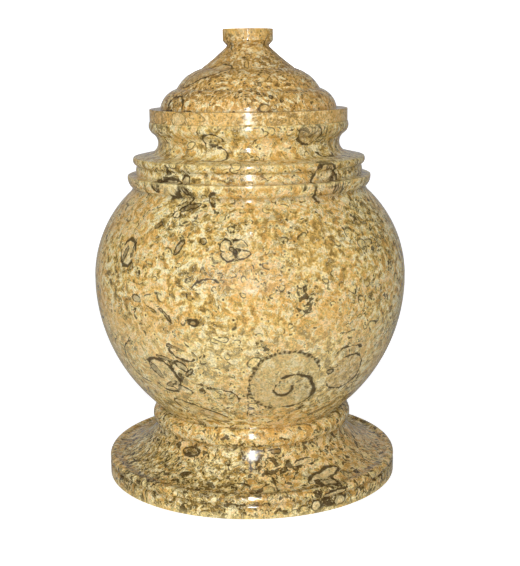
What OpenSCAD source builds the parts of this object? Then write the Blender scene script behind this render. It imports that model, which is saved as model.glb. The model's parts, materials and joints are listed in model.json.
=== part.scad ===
// Turned stone cremation urn with a lift-off lid.
// Millimetres, +Z up, origin at the middle of the underside.

/* [Bowl] */
// Widest diameter of the bowl
belly_d = 203; // [170:1:245]
// Radius of the arc below the widest ring
bowl_arc = 110; // [92:1:132]
// Radius of the arc above the widest ring
shoulder_arc = 76; // [64:1:91]
// Wall of stone between the bowl's outside and its cavity
wall = 9; // [7:0.5:13]
// Stone left under the cavity
base_t = 44; // [36:1:60]

/* [Foot] */
// Diameter of the foot
foot_d = 191.4; // [160:1:230]
// Height of the plain lower band
band_h = 8.9; // [7:0.1:11]
// Depth of the groove above the lower band, and rounding of the band's top edge
groove_depth = 1.1; // [0.6:0.1:1.6]
// Radius of the roll above the groove
roll_r = 3.3; // [2.8:0.1:4]
// Height of the hollow flare between the roll and the bead
flare_h = 19.8; // [16:0.1:24]
// How far the flare is hollowed below a straight slope
flare_hollow = 4; // [1:0.1:5]
// Diameter of the bead under the bowl
bead_d = 132.2; // [110:1:158]
// Radius of the bead's half round
bead_r = 6; // [5:0.1:7.2]

/* [Neck] */
// Narrowest diameter of the neck
neck_d = 116.8; // [97:0.1:140]
// Wall of stone around the mouth at the neck
neck_wall = 14.4; // [12:0.1:17]
// Radius of the hollow around the neck
neck_hollow_r = 7; // [5.5:0.1:8.4]
// How far the rim stands out from the neck
rim_w = 5.2; // [4.2:0.1:6.2]
// Height of the rim
rim_h = 7.6; // [6:0.1:9.2]

/* [Shoulder] */
// How far the upper ridge stands out from the neck
upper_ridge_w = 15.8; // [13:0.1:19]
// Height of the upper ridge
upper_ridge_h = 5.4; // [4.5:0.1:6.5]
// Rise of the ledge between the upper ridge and the neck
ledge_rise = 1.9; // [0.5:0.1:2.5]
// How far the collar stands in from the upper ridge
collar_w = 1.2; // [1:0.1:1.5]
// Height of the collar between the ridges
collar_h = 6.2; // [5:0.1:7.5]
// How far the lower ridge stands out from the collar
lower_ridge_w = 5.4; // [4.5:0.1:6.5]
// Height of the lower ridge
lower_ridge_h = 8.4; // [7:0.1:10]
// How far the crease under the lower ridge stands in from it
crease_w = 4.1; // [3.4:0.1:5]

/* [Lid] */
// How far the lid's rim stands in from the bowl's rim
lid_inset = 0.1; // [0:0.1:1]
// Height of the lid's rim
lid_rim_h = 7.9; // [6.5:0.1:9.5]
// Width of the ledge on the lid's rim
lid_ledge_w = 6.9; // [5.7:0.1:8.3]
// Width of the lower ovolo
lower_ovolo_w = 11.1; // [9.2:0.1:13.4]
// Height of the lower ovolo
lower_ovolo_h = 12.5; // [10:0.1:15]
// Width of the upper ovolo
upper_ovolo_w = 15.8; // [13.1:0.1:19]
// Height of the upper ovolo
upper_ovolo_h = 12.8; // [10:0.1:15.4]
// Height of the cone, up to the hollow under the knob
cone_h = 14.1; // [11.7:0.1:17]
// Diameter of the knob
knob_d = 32.2; // [27:0.1:38.7]
// How far the hollow under the knob stands in from it
knob_hollow_w = 2.5; // [2:0.1:3]
// Height of the slope under the knob
knob_slope_h = 3.4; // [2.8:0.1:4.1]
// Height of the knob's upright side
knob_h = 6.9; // [5.7:0.1:8.3]

/* [Fit] */
// Radial clearance between the lid's spigot and the mouth
spigot_gap = 0.8; // [0.3:0.1:1.5]
// Depth of the lid's spigot in the mouth
spigot_h = 9; // [5:0.5:14]

/* [Edges] */
// Small bevel on the arrises
arris = 0.5; // [0.2:0.1:0.8]

/* [Hidden] */

STONE = "tan";
// Farthest that a chord of an arc lies from the true arc
CHORD_ERROR = 0.03;

// Angles on the roll and the bead where their neighbours meet them, from straight out
ROLL_FROM = -48;
ROLL_TO = 140;
BEAD_FROM = -75;
BEAD_TO = 102;
// Angles on the neck's hollow, from its lowest point to the rim's crease
HOLLOW_FROM = 270;
HOLLOW_TO = 125;

// How far each moulding's face swells out from its chord
LOWER_RIDGE_SWELL = 1.5;
COLLAR_SWELL = 0.3;
UPPER_RIDGE_SWELL = 1.15;
RIM_SWELL = 1.5;
LOWER_OVOLO_SWELL = 2.4;
UPPER_OVOLO_SWELL = 1.95;
// How far the cone's face is hollowed
CONE_HOLLOW = 0.35;

// Foot, from the floor up
roll_x = foot_d / 2 - roll_r;
roll_z = band_h - roll_r * sin(ROLL_FROM);
flare_z = roll_z + roll_r * sin(ROLL_TO);
bead_x = bead_d / 2 - bead_r;
bead_z = flare_z + flare_h - bead_r * sin(BEAD_FROM);
seat_x = bead_x + bead_r * cos(BEAD_TO);
seat_z = bead_z + bead_r * sin(BEAD_TO);

// Neck and shoulder radii, from the neck out
neck_r = neck_d / 2;
mouth_r = neck_r - neck_wall;
rim_r = neck_r + rim_w;
upper_ridge_r = neck_r + upper_ridge_w;
collar_r = upper_ridge_r - collar_w;
lower_ridge_r = collar_r + lower_ridge_w;
crease_r = lower_ridge_r - crease_w;
hollow_x = neck_r + neck_hollow_r;

// Bowl: both arcs share the widest ring, so they meet in one smooth curve
bowl_arc_x = belly_d / 2 - bowl_arc;
shoulder_arc_x = belly_d / 2 - shoulder_arc;
belly_z = seat_z + sqrt(pow(bowl_arc, 2) - pow(seat_x - bowl_arc_x, 2));
crease_z = belly_z + sqrt(pow(shoulder_arc, 2) - pow(crease_r - shoulder_arc_x, 2));

// Shoulder and neck heights, from the bowl's crease up
lower_ridge_z = crease_z + lower_ridge_h;
collar_z = lower_ridge_z + collar_h;
upper_ridge_z = collar_z + upper_ridge_h;
hollow_z = upper_ridge_z + ledge_rise + neck_hollow_r;
rim_z = hollow_z + neck_hollow_r * sin(HOLLOW_TO);
seam_z = rim_z + rim_h;

// Cavity: the bowl's own arcs, moved in by the wall
mouth_z = belly_z + sqrt(pow(shoulder_arc - wall, 2) - pow(mouth_r - shoulder_arc_x, 2));

// Lid radii, from the rim in
lid_r = rim_r - lid_inset;
lower_ovolo_r = lid_r - lid_ledge_w;
upper_ovolo_r = lower_ovolo_r - lower_ovolo_w;
cone_r = upper_ovolo_r - upper_ovolo_w;
knob_r = knob_d / 2;
knob_hollow_r = knob_r - knob_hollow_w;
spigot_r = mouth_r - spigot_gap;

// Lid heights, from the seam up
lid_rim_z = seam_z + lid_rim_h;
lower_ovolo_z = lid_rim_z + lower_ovolo_h;
upper_ovolo_z = lower_ovolo_z + upper_ovolo_h;
cone_z = upper_ovolo_z + cone_h;
knob_z = cone_z + knob_slope_h;
top_z = knob_z + knob_h;

// Points of the arc about [x, z] from one angle to another
function arc(x, z, r, from, to) =
    let (steps = ceil(abs(to - from) / (2 * acos(1 - CHORD_ERROR / r))))
    [for (i = [0:steps]) let (a = from + (to - from) * i / steps) [x + r * cos(a), z + r * sin(a)]];

// Points of the arc from p up to q that swells outwards, or inwards where swell is negative
function bow(p, q, swell) =
    let (
        side = sign(swell),
        half = norm(q - p) / 2,
        r = (half * half + swell * swell) / (2 * abs(swell)),
        out = side * [q.y - p.y, p.x - q.x] / (2 * half),
        c = (p + q) / 2 + out * (abs(swell) - r),
        middle = atan2(out.y, out.x),
        spread = side * 2 * atan(abs(swell) / half)
    )
    arc(c.x, c.y, r, middle - spread, middle + spread);

// Plain band, groove, roll, hollow flare and bead
function foot_outline() = concat(
    [
        [0, 0],
        [foot_d / 2 - arris, 0],
        [foot_d / 2, arris],
    ],
    arc(foot_d / 2 - groove_depth, band_h - groove_depth - arris, groove_depth, 0, 90),
    arc(roll_x, roll_z, roll_r, ROLL_FROM, ROLL_TO),
    bow(
        [roll_x + roll_r * cos(ROLL_TO), flare_z],
        [bead_x + bead_r * cos(BEAD_FROM), flare_z + flare_h],
        -flare_hollow
    ),
    arc(bead_x, bead_z, bead_r, BEAD_FROM, BEAD_TO)
);

// The two arcs of the bowl, from the bead to the shoulder's crease
function bowl_outline() = concat(
    arc(bowl_arc_x, belly_z, bowl_arc, asin((seat_z - belly_z) / bowl_arc), 0),
    arc(shoulder_arc_x, belly_z, shoulder_arc, 0, asin((crease_z - belly_z) / shoulder_arc))
);

// Two ridges with the collar between them
function shoulder_outline() = concat(
    bow([crease_r, crease_z], [lower_ridge_r, lower_ridge_z - arris], LOWER_RIDGE_SWELL),
    [[lower_ridge_r - arris, lower_ridge_z]],
    bow([collar_r, lower_ridge_z + arris], [collar_r - arris, collar_z], COLLAR_SWELL),
    bow([collar_r, collar_z + arris], [upper_ridge_r, upper_ridge_z - arris], UPPER_RIDGE_SWELL),
    [[upper_ridge_r - arris, upper_ridge_z]]
);

// Hollow neck and the rim that carries the lid
function neck_outline() = concat(
    arc(hollow_x, hollow_z, neck_hollow_r, HOLLOW_FROM, HOLLOW_TO),
    bow([hollow_x + neck_hollow_r * cos(HOLLOW_TO), rim_z], [rim_r, seam_z - arris], RIM_SWELL),
    [
        [rim_r - arris, seam_z],
        [mouth_r + arris, seam_z],
        [mouth_r, seam_z - arris],
    ]
);

// Inside of the bowl, from the foot of the mouth down to the flat floor
function cavity_outline() = concat(
    arc(shoulder_arc_x, belly_z, shoulder_arc - wall, asin((mouth_z - belly_z) / (shoulder_arc - wall)), 0),
    arc(bowl_arc_x, belly_z, bowl_arc - wall, 0, asin((base_t - belly_z) / (bowl_arc - wall))),
    [[0, base_t]]
);

// Spigot that drops in the mouth, and the rim that rests on the bowl's rim
function lid_rim_outline() = [
    [0, seam_z - spigot_h],
    [spigot_r - arris, seam_z - spigot_h],
    [spigot_r, seam_z - spigot_h + arris],
    [spigot_r, seam_z],
    [lid_r - arris, seam_z],
    [lid_r, seam_z + arris],
    [lid_r, lid_rim_z - arris],
    [lid_r - arris, lid_rim_z],
];

// Two ovolos and the cone that rises to the knob
function dome_outline() = concat(
    bow([lower_ovolo_r, lid_rim_z], [upper_ovolo_r + arris, lower_ovolo_z], LOWER_OVOLO_SWELL),
    bow([upper_ovolo_r, lower_ovolo_z + arris], [cone_r, upper_ovolo_z], UPPER_OVOLO_SWELL),
    bow([cone_r - arris, upper_ovolo_z + arris], [knob_hollow_r + arris, cone_z - 2 * arris], -CONE_HOLLOW)
);

// Flat-topped knob over its hollow
function knob_outline() = [
    [knob_hollow_r, cone_z - arris],
    [knob_hollow_r, cone_z],
    [knob_r - arris, knob_z - arris],
    [knob_r, knob_z],
    [knob_r, top_z - arris],
    [knob_r - arris, top_z],
    [0, top_z],
];

// Bowl, foot, shoulder and neck, turned from one block and hollowed through the mouth
module urn_body() {
    color(STONE)
        rotate_extrude($fn = 128)
            polygon(concat(
                foot_outline(),
                bowl_outline(),
                shoulder_outline(),
                neck_outline(),
                cavity_outline()
            ));
}

// Solid lid with its knob, turned from one block
module lid() {
    color(STONE)
        rotate_extrude($fn = 128)
            polygon(concat(lid_rim_outline(), dome_outline(), knob_outline()));
}

urn_body();
lid();
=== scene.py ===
"""Looks of a turned fossil-limestone cremation urn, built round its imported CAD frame."""
import json
import logging
import math
from dataclasses import dataclass, field, replace
from enum import Enum

import bpy
import numpy as np
from mathutils import Matrix, Vector

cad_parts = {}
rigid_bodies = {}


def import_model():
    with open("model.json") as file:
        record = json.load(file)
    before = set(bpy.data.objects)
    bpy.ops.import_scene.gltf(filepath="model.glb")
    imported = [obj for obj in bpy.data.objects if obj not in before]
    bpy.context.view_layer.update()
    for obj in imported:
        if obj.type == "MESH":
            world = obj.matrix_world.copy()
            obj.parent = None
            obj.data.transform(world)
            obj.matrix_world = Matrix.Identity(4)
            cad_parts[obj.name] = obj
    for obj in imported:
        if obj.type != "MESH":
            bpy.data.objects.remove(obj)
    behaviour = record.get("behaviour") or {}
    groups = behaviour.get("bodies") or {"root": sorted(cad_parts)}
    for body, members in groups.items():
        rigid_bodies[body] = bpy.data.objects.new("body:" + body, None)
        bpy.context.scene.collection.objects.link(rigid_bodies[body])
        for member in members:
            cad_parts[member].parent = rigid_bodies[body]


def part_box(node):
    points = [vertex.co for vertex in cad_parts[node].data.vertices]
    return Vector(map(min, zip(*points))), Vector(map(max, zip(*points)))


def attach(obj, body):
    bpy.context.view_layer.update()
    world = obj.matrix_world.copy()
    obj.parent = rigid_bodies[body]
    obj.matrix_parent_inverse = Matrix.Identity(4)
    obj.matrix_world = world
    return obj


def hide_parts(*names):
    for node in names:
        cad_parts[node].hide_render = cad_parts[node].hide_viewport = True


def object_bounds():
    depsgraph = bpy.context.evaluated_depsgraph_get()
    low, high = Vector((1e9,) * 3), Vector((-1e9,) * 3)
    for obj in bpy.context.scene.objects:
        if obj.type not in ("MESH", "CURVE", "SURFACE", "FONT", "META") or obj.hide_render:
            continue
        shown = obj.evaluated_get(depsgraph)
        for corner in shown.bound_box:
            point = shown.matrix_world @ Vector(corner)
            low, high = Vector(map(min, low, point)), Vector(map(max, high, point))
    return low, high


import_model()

CAD_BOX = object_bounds()
MM = 0.001
FAR = -5000.0

Pair = tuple[float, float]
Triple = tuple[float, float, float]
Material = bpy.types.Material

log = logging.getLogger("urn")


# ---------------------------------------------------------------------------- node trees


class Graph:
    """A node tree that is filled one node at a time."""

    def __init__(self, tree: bpy.types.NodeTree) -> None:
        """Starts from an empty tree.

        Args:
            tree: The node tree to fill.
        """
        self.tree = tree
        tree.nodes.clear()

    def add(
        self, kind: str, inputs: dict | None = None, stops: list | None = None, **settings: object
    ) -> bpy.types.Node:
        """Makes one node, sets its settings, then fills or links its inputs.

        Args:
            kind: The node's type name.
            inputs: Value, term or socket for each input, by name or number.
            stops: Position and colour of each stop, for a ramp.
            settings: The node's own settings, such as a Math node's operation.

        Returns:
            The new node.
        """
        node = self.tree.nodes.new(kind)
        for name, value in settings.items():
            setattr(node, name, value)
        if stops:
            elements = node.color_ramp.elements
            while len(elements) < len(stops):
                elements.new(0.5)
            for element, (place, colour) in zip(elements, stops):
                element.position = place
                element.color = (*colour, 1.0)
        for key, value in (inputs or {}).items():
            self.feed(node.inputs[key], value)
        return node

    def feed(self, socket: bpy.types.NodeSocket, value: object) -> None:
        """Links a term or socket to an input, or sets the input's own value.

        Args:
            socket: The input.
            value: A term, a socket or a plain value.
        """
        if isinstance(value, Term):
            value = value.socket
        if isinstance(value, bpy.types.NodeSocket):
            self.tree.links.new(value, socket)
        elif socket.type == "RGBA" and len(value) == 3:
            socket.default_value = (*value, 1.0)
        else:
            socket.default_value = value


class Term:
    """A number that runs through a node tree and takes part in Python sums."""

    def __init__(self, graph: Graph, socket: bpy.types.NodeSocket) -> None:
        """Wraps one output socket."""
        self.graph = graph
        self.socket = socket

    def _math(self, operation: str, *values: object) -> "Term":
        """Adds one Math node on the values."""
        node = self.graph.add("ShaderNodeMath", dict(enumerate(values)), operation=operation)
        return Term(self.graph, node.outputs[0])

    def __add__(self, other: object) -> "Term":
        """self + other."""
        return self._math("ADD", self, other)

    __radd__ = __add__

    def __sub__(self, other: object) -> "Term":
        """self - other."""
        return self._math("SUBTRACT", self, other)

    def __rsub__(self, other: object) -> "Term":
        """other - self."""
        return self._math("SUBTRACT", other, self)

    def __mul__(self, other: object) -> "Term":
        """self * other."""
        return self._math("MULTIPLY", self, other)

    __rmul__ = __mul__

    def __truediv__(self, other: object) -> "Term":
        """self / other."""
        return self._math("DIVIDE", self, other)

    def __rtruediv__(self, other: object) -> "Term":
        """other / self."""
        return self._math("DIVIDE", other, self)

    def __abs__(self) -> "Term":
        """Size of the number without its sign."""
        return self._math("ABSOLUTE", self)

    def __gt__(self, other: object) -> "Term":
        """1 where self is the greater, or 0."""
        return self._math("GREATER_THAN", self, other)

    def __lt__(self, other: object) -> "Term":
        """1 where self is the lesser, or 0."""
        return self._math("LESS_THAN", self, other)

    def high(self, other: object) -> "Term":
        """The greater of the two."""
        return self._math("MAXIMUM", self, other)

    def fraction(self) -> "Term":
        """The part after the point."""
        return self._math("FRACT", self)

    def floor(self) -> "Term":
        """The whole number at or below this one."""
        return self._math("FLOOR", self)

    def remainder(self, divisor: "Term") -> "Term":
        """What is left after whole divisors are taken away."""
        return self._math("FLOORED_MODULO", self, divisor)

    def root(self) -> "Term":
        """Square root."""
        return self._math("SQRT", self)

    def sine(self) -> "Term":
        """Sine, from radians."""
        return self._math("SINE", self)

    def cosine(self) -> "Term":
        """Cosine, from radians."""
        return self._math("COSINE", self)

    def wrapped(self) -> "Term":
        """An angle brought to within half a turn of 0, in radians."""
        return self._math("WRAP", self, -math.pi, math.pi)

    def bearing(self, across: "Term") -> "Term":
        """Angle of the point (across, self), in radians."""
        return self._math("ARCTAN2", self, across)

    def fade(self, start: float, stop: float) -> "Term":
        """Makes a smooth step.

        Args:
            start: Where the step is 0.
            stop: Where the step is 1, which may be the lower.

        Returns:
            The step.
        """
        low, high, ends = (start, stop, (0.0, 1.0)) if start < stop else (stop, start, (1.0, 0.0))
        node = self.graph.add(
            "ShaderNodeMapRange",
            {0: self, 1: low, 2: high, 3: ends[0], 4: ends[1]},
            interpolation_type="SMOOTHSTEP",
        )
        return Term(self.graph, node.outputs[0])


class Arrow(Term):
    """A vector that runs through a node tree."""

    def _vector(self, operation: str, *values: object) -> bpy.types.Node:
        """Adds one Vector Math node on the values."""
        return self.graph.add("ShaderNodeVectorMath", dict(enumerate(values)), operation=operation)

    def __add__(self, other: object) -> "Arrow":
        """self + other, part by part."""
        return Arrow(self.graph, self._vector("ADD", self, other).outputs[0])

    def __sub__(self, other: object) -> "Arrow":
        """self - other, part by part."""
        return Arrow(self.graph, self._vector("SUBTRACT", self, other).outputs[0])

    def __mul__(self, other: object) -> "Arrow":
        """self * other, part by part."""
        return Arrow(self.graph, self._vector("MULTIPLY", self, other).outputs[0])

    def scaled(self, factor: object) -> "Arrow":
        """The vector times one number."""
        node = self.graph.add("ShaderNodeVectorMath", {0: self, "Scale": factor}, operation="SCALE")
        return Arrow(self.graph, node.outputs[0])

    def dot(self, other: object) -> Term:
        """Dot product with another vector."""
        return Term(self.graph, self._vector("DOT_PRODUCT", self, other).outputs["Value"])

    def length(self) -> Term:
        """Length of the vector."""
        return Term(self.graph, self._vector("LENGTH", self).outputs["Value"])

    def unit(self) -> "Arrow":
        """The vector at length 1."""
        return Arrow(self.graph, self._vector("NORMALIZE", self).outputs[0])

    def parts(self) -> tuple[Term, Term, Term]:
        """The three parts as numbers."""
        node = self.graph.add("ShaderNodeSeparateXYZ", {0: self})
        return tuple(Term(self.graph, node.outputs[i]) for i in range(3))


class Paint(Term):
    """A colour that runs through a node tree."""

    FACTOR, FIRST, SECOND, RESULT = 0, 6, 7, 2

    def mix(self, other: object, share: object, blend: str = "MIX") -> "Paint":
        """Lays another colour over this one.

        Args:
            other: The colour to lay, as a term or three numbers.
            share: How much of it shows, from 0 to 1.
            blend: The Mix node's blend type.

        Returns:
            The mixed colour.
        """
        inputs = {self.FACTOR: share, self.FIRST: self, self.SECOND: other}
        node = self.graph.add("ShaderNodeMix", inputs, data_type="RGBA", blend_type=blend, clamp_factor=True)
        return Paint(self.graph, node.outputs[self.RESULT])


# ---------------------------------------------------------------------------- turned outlines


@dataclass
class Outline:
    """Half a turned section, as (radius, height) points in millimetres."""

    LONGEST = 2.2  # length of a step round an arc, before one more degree is added
    WIDEST = 6.0  # degrees in a step round an arc
    HELD = 0.3  # from the end of a round to the point that holds it
    BEVEL_STEP = 12.0  # degrees in a step round a corner
    FULLEST = 2.6  # largest turn, in radians, that a round follows
    SHARE = 0.4  # of a straight run that one round may take up

    points: list[Pair] = field(default_factory=list)

    def line(self, *points: Pair) -> "Outline":
        """Adds straight runs to the points."""
        self.points += points
        return self

    def arc(self, centre: Pair, radius: float, start: float, stop: float) -> "Outline":
        """Adds an arc, with a point at least every WIDEST degrees.

        Args:
            centre: Radius and height of the arc's centre.
            radius: The arc's radius.
            start: Angle of its first point, in degrees.
            stop: Angle of its last point, in degrees.

        Returns:
            The outline itself.
        """
        degrees = min(self.WIDEST, math.degrees(self.LONGEST / radius) + 1.0)
        steps = math.ceil(abs(stop - start) / degrees)
        for i in range(steps + 1):
            angle = math.radians(start + (stop - start) * i / steps)
            self.points.append((centre[0] + radius * math.cos(angle), centre[1] + radius * math.sin(angle)))
        return self

    def bow(self, p: Pair, q: Pair, swell: float) -> "Outline":
        """Adds the shallow arc between two points.

        Args:
            p: Its lower end.
            q: Its upper end.
            swell: How far its middle stands out from the straight line, or in where negative.

        Returns:
            The outline itself.
        """
        side = math.copysign(1.0, swell)
        dr, dz = q[0] - p[0], q[1] - p[1]
        half = math.hypot(dr, dz) / 2
        radius = (half * half + swell * swell) / (2 * abs(swell))
        out = (side * dz / (2 * half), -side * dr / (2 * half))
        shift = abs(swell) - radius
        centre = ((p[0] + q[0]) / 2 + out[0] * shift, (p[1] + q[1]) / 2 + out[1] * shift)
        middle = math.degrees(math.atan2(out[1], out[0]))
        spread = side * math.degrees(2 * math.atan(abs(swell) / half))
        return self.arc(centre, radius, middle - spread, middle + spread)

    def softened(self, radius: float, sharpest: float = 18.0) -> "Outline":
        """Rounds the corners, and holds the ends of each round with close points.

        Args:
            radius: Radius of each round.
            sharpest: The largest turn that is left as it is, in degrees.

        Returns:
            The softened outline.
        """
        rounded = [self.points[0]]
        for before, corner, after in zip(self.points, self.points[1:], self.points[2:]):
            a = Vector(corner) - Vector(before)
            b = Vector(after) - Vector(corner)
            if a.length < 1e-6 or b.length < 1e-6:
                continue
            turn = a.angle(b)
            if math.degrees(turn) < sharpest:
                rounded.append(corner)
                continue
            longest = self.SHARE * min(a.length, b.length)
            reach = min(radius * math.tan(min(turn, self.FULLEST) / 2), longest)
            first, last = Vector(corner) - a.normalized() * reach, Vector(corner) + b.normalized() * reach
            if a.length > 3 * (reach + self.HELD):
                rounded.append(tuple(first - a.normalized() * self.HELD))
            steps = max(2, math.ceil(math.degrees(turn) / self.BEVEL_STEP))
            for i in range(steps + 1):
                t = i / steps
                point = first * (1 - t) ** 2 + Vector(corner) * 2 * t * (1 - t) + last * t * t
                rounded.append(tuple(point))
            if b.length > 3 * (reach + self.HELD):
                rounded.append(tuple(last + b.normalized() * self.HELD))
        rounded.append(self.points[-1])
        return Outline(rounded)

    def mesh(self, name: str) -> bpy.types.Object:
        """Makes the outline a string of edges in the XZ plane, in metres.

        Args:
            name: The object's name.

        Returns:
            The object.
        """
        mesh = bpy.data.meshes.new(name)
        edges = [(i, i + 1) for i in range(len(self.points) - 1)]
        mesh.from_pydata([(r * MM, 0.0, z * MM) for r, z in self.points], edges, [])
        thing = bpy.data.objects.new(name, mesh)
        bpy.context.collection.objects.link(thing)
        return thing


def fold_of(outline: Outline, reach: float = 1.3, least: float = 7.0, full: float = 55.0) -> list[float]:
    """Tells creases from arrises along an outline.

    Args:
        outline: The outline, running upwards outside.
        reach: How far a corner is felt, in millimetres.
        least: The smallest turn that counts, in degrees.
        full: The turn that counts in full, in degrees.

    Returns:
        For each point, up to 1 in a crease and down to -1 on an arris.
    """
    points = np.array(outline.points)
    run = np.append(0.0, np.cumsum(np.hypot(*np.diff(points, axis=0).T)))
    steps = np.diff(points, axis=0)
    ways = np.arctan2(steps[:, 1], steps[:, 0])
    turns = np.append(0.0, np.append((np.diff(ways) + math.pi) % math.tau - math.pi, 0.0))
    spread = np.exp(-np.abs(run[:, None] - run[None, :]) / reach)
    gathered = spread @ np.where(np.abs(turns) > math.radians(least), turns, 0.0)
    return list(np.clip(-gathered / math.radians(full), -1.0, 1.0))


class Lathe:
    """A Geometry Nodes tree that turns an outline round the Z axis."""

    STEPS = 240
    WELD = 0.002  # millimetres between points that become one
    CHUNK = 4096  # vertices that are compared with the outline at a time

    def __init__(self) -> None:
        """Builds the tree once, with its sizes as named inputs."""
        self.tree = bpy.data.node_groups.new("Lathe", "GeometryNodeTree")
        self.graph = Graph(self.tree)
        self.open_sockets()
        given = self.graph.add("NodeGroupInput").outputs
        mesh, row = self.turned(given)
        self.graph.add("NodeGroupOutput", {0: self.dressed(given, mesh, row)})

    def open_sockets(self) -> None:
        """Gives the tree its inputs and its output."""
        face = self.tree.interface
        face.new_socket("Outline", in_out="INPUT", socket_type="NodeSocketGeometry")
        for name, kind in (("Steps", "Int"), ("Honed From", "Int"), ("Weld", "Float")):
            face.new_socket(name, in_out="INPUT", socket_type=f"NodeSocket{kind}")
        for name in ("Polished", "Honed"):
            face.new_socket(name, in_out="INPUT", socket_type="NodeSocketMaterial")
        face.new_socket("Turned", in_out="OUTPUT", socket_type="NodeSocketGeometry")

    def turned(self, given: object) -> tuple[bpy.types.NodeSocket, Term]:
        """Lays a grid round the axis, with the outline's points for its rows.

        Args:
            given: The tree's inputs.

        Returns:
            The turned mesh, and for each of its points the number of its row.
        """
        graph = self.graph
        steps = Term(graph, given["Steps"])
        count = Term(graph, graph.add("GeometryNodeAttributeDomainSize", {0: given["Outline"]}).outputs[0])
        grid = graph.add("GeometryNodeMeshGrid", {"Vertices X": steps + 1, "Vertices Y": count})
        index = Term(graph, graph.add("GeometryNodeInputIndex").outputs[0])
        row = index.remainder(count)
        place = graph.add("GeometryNodeInputPosition").outputs[0]
        taken = graph.add(
            "GeometryNodeSampleIndex",
            {0: given["Outline"], "Value": place, "Index": row},
            data_type="FLOAT_VECTOR",
        )
        radius, _, height = Arrow(graph, taken.outputs[0]).parts()
        angle = (index / count).floor() * math.tau / steps
        around = {0: radius * angle.cosine(), 1: radius * angle.sine(), 2: height}
        turned = graph.add("ShaderNodeCombineXYZ", around)
        kept = graph.add("GeometryNodeCaptureAttribute", {0: grid.outputs[0]})
        kept.capture_items.new("FLOAT", "Row")
        graph.feed(kept.inputs[1], row)
        moved = graph.add("GeometryNodeSetPosition", {0: kept.outputs[0], "Position": turned.outputs[0]})
        welded = graph.add("GeometryNodeMergeByDistance", {0: moved.outputs[0], "Distance": given["Weld"]})
        smooth = graph.add("GeometryNodeSetShadeSmooth", {0: welded.outputs[0]})
        real = graph.add("GeometryNodeRealizeInstances", {0: smooth.outputs[0]})
        return real.outputs[0], Term(graph, kept.outputs[1])

    def dressed(self, given: object, mesh: bpy.types.NodeSocket, row: Term) -> bpy.types.NodeSocket:
        """Gives the mesh its polished and its honed skin.

        Args:
            given: The tree's inputs.
            mesh: The turned mesh.
            row: For each of its points, the number of its row.

        Returns:
            The mesh with its materials.
        """
        graph = self.graph
        skin = graph.add("GeometryNodeSetMaterial", {0: mesh, "Material": given["Polished"]})
        inner = row > (Term(graph, given["Honed From"]) - 0.5)
        inputs = {0: skin.outputs[0], "Selection": inner, "Material": given["Honed"]}
        return graph.add("GeometryNodeSetMaterial", inputs).outputs[0]

    def mark(self, mesh: bpy.types.Mesh, outline: Outline, sense: float) -> None:
        """Writes on each vertex how deep in a crease it lies.

        Args:
            mesh: The turned mesh.
            outline: Its section.
            sense: 1 for an outline that runs upwards outside, -1 for one that runs down.
        """
        places = np.empty(len(mesh.vertices) * 3)
        mesh.vertices.foreach_get("co", places)
        places = places.reshape(-1, 3) / MM
        flat = np.column_stack((np.hypot(places[:, 0], places[:, 1]), places[:, 2]))
        points, folds = np.array(outline.points), np.array(fold_of(outline)) * sense
        values = np.empty(len(flat))
        for start in range(0, len(flat), self.CHUNK):
            chunk = flat[start : start + self.CHUNK]
            near = ((chunk[:, None, :] - points[None, :, :]) ** 2).sum(axis=2).argmin(axis=1)
            values[start : start + self.CHUNK] = folds[near]
        mesh.attributes.new("fold", "FLOAT", "POINT").data.foreach_set("value", values.astype(np.float32))

    def turn(
        self,
        outline: Outline,
        name: str,
        honed_from: int,
        polished: Material,
        honed: Material,
        sense: float = 1.0,
    ) -> bpy.types.Object:
        """Turns one outline into a plain mesh.

        Args:
            outline: The section to turn.
            name: Name of the finished piece.
            honed_from: Number of the outline's first unpolished point.
            polished: Material of the polished skin.
            honed: Material of the unpolished skin.
            sense: 1 for an outline that runs upwards outside, -1 for one that runs down.

        Returns:
            The finished piece, at the origin.
        """
        rough = outline.mesh(f"{name}_outline")
        modifier = rough.modifiers.new("Lathe", "NODES")
        modifier.node_group = self.tree
        values = {
            "Steps": self.STEPS,
            "Honed From": honed_from,
            "Weld": self.WELD * MM,
            "Polished": polished,
            "Honed": honed,
        }
        for item in self.tree.interface.items_tree:
            if item.in_out == "INPUT" and item.name in values:
                modifier[item.identifier] = values[item.name]
        rough.update_tag()
        evaluated = rough.evaluated_get(bpy.context.evaluated_depsgraph_get())
        mesh = bpy.data.meshes.new_from_object(evaluated)
        mesh.name = name
        self.mark(mesh, outline, sense)
        bpy.data.objects.remove(rough)
        piece = bpy.data.objects.new(name, mesh)
        bpy.context.collection.objects.link(piece)
        return piece


# ---------------------------------------------------------------------------- fossils


class Tint(Enum):
    """What a fossil is filled with, as a colour in linear light."""

    CREAM = (0.88, 0.72, 0.38)
    STONE = (0.58, 0.46, 0.22)
    SAND = (0.56, 0.40, 0.19)
    ORANGE = (0.60, 0.34, 0.12)
    OLIVE = (0.30, 0.24, 0.12)
    DARK = (0.10, 0.065, 0.028)


@dataclass(frozen=True)
class Fossil:
    """One shell that the turned surface cuts through, drawn as part of an ellipse.

    Azimuth runs from the front to the right. Sizes are millimetres along the
    surface, and the arc's angles start at the right and run upwards. Fill is how
    much of the tint shows inside, and beads is 1 where the line is beaded.
    """

    azimuth: float
    height: float
    long: float
    short: float
    tilt: float = 0.0
    line: float = 0.5
    tint: Tint = Tint.SAND
    fill: float = 0.0
    middle: float = 0.0
    span: float = 360.0
    beads: float = 0.0

    def mirrored(self, azimuth: float) -> "Fossil":
        """Gives the mirror image that stands at the azimuth less this one's."""
        return replace(self, azimuth=azimuth - self.azimuth, tilt=-self.tilt, middle=180.0 - self.middle)


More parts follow.
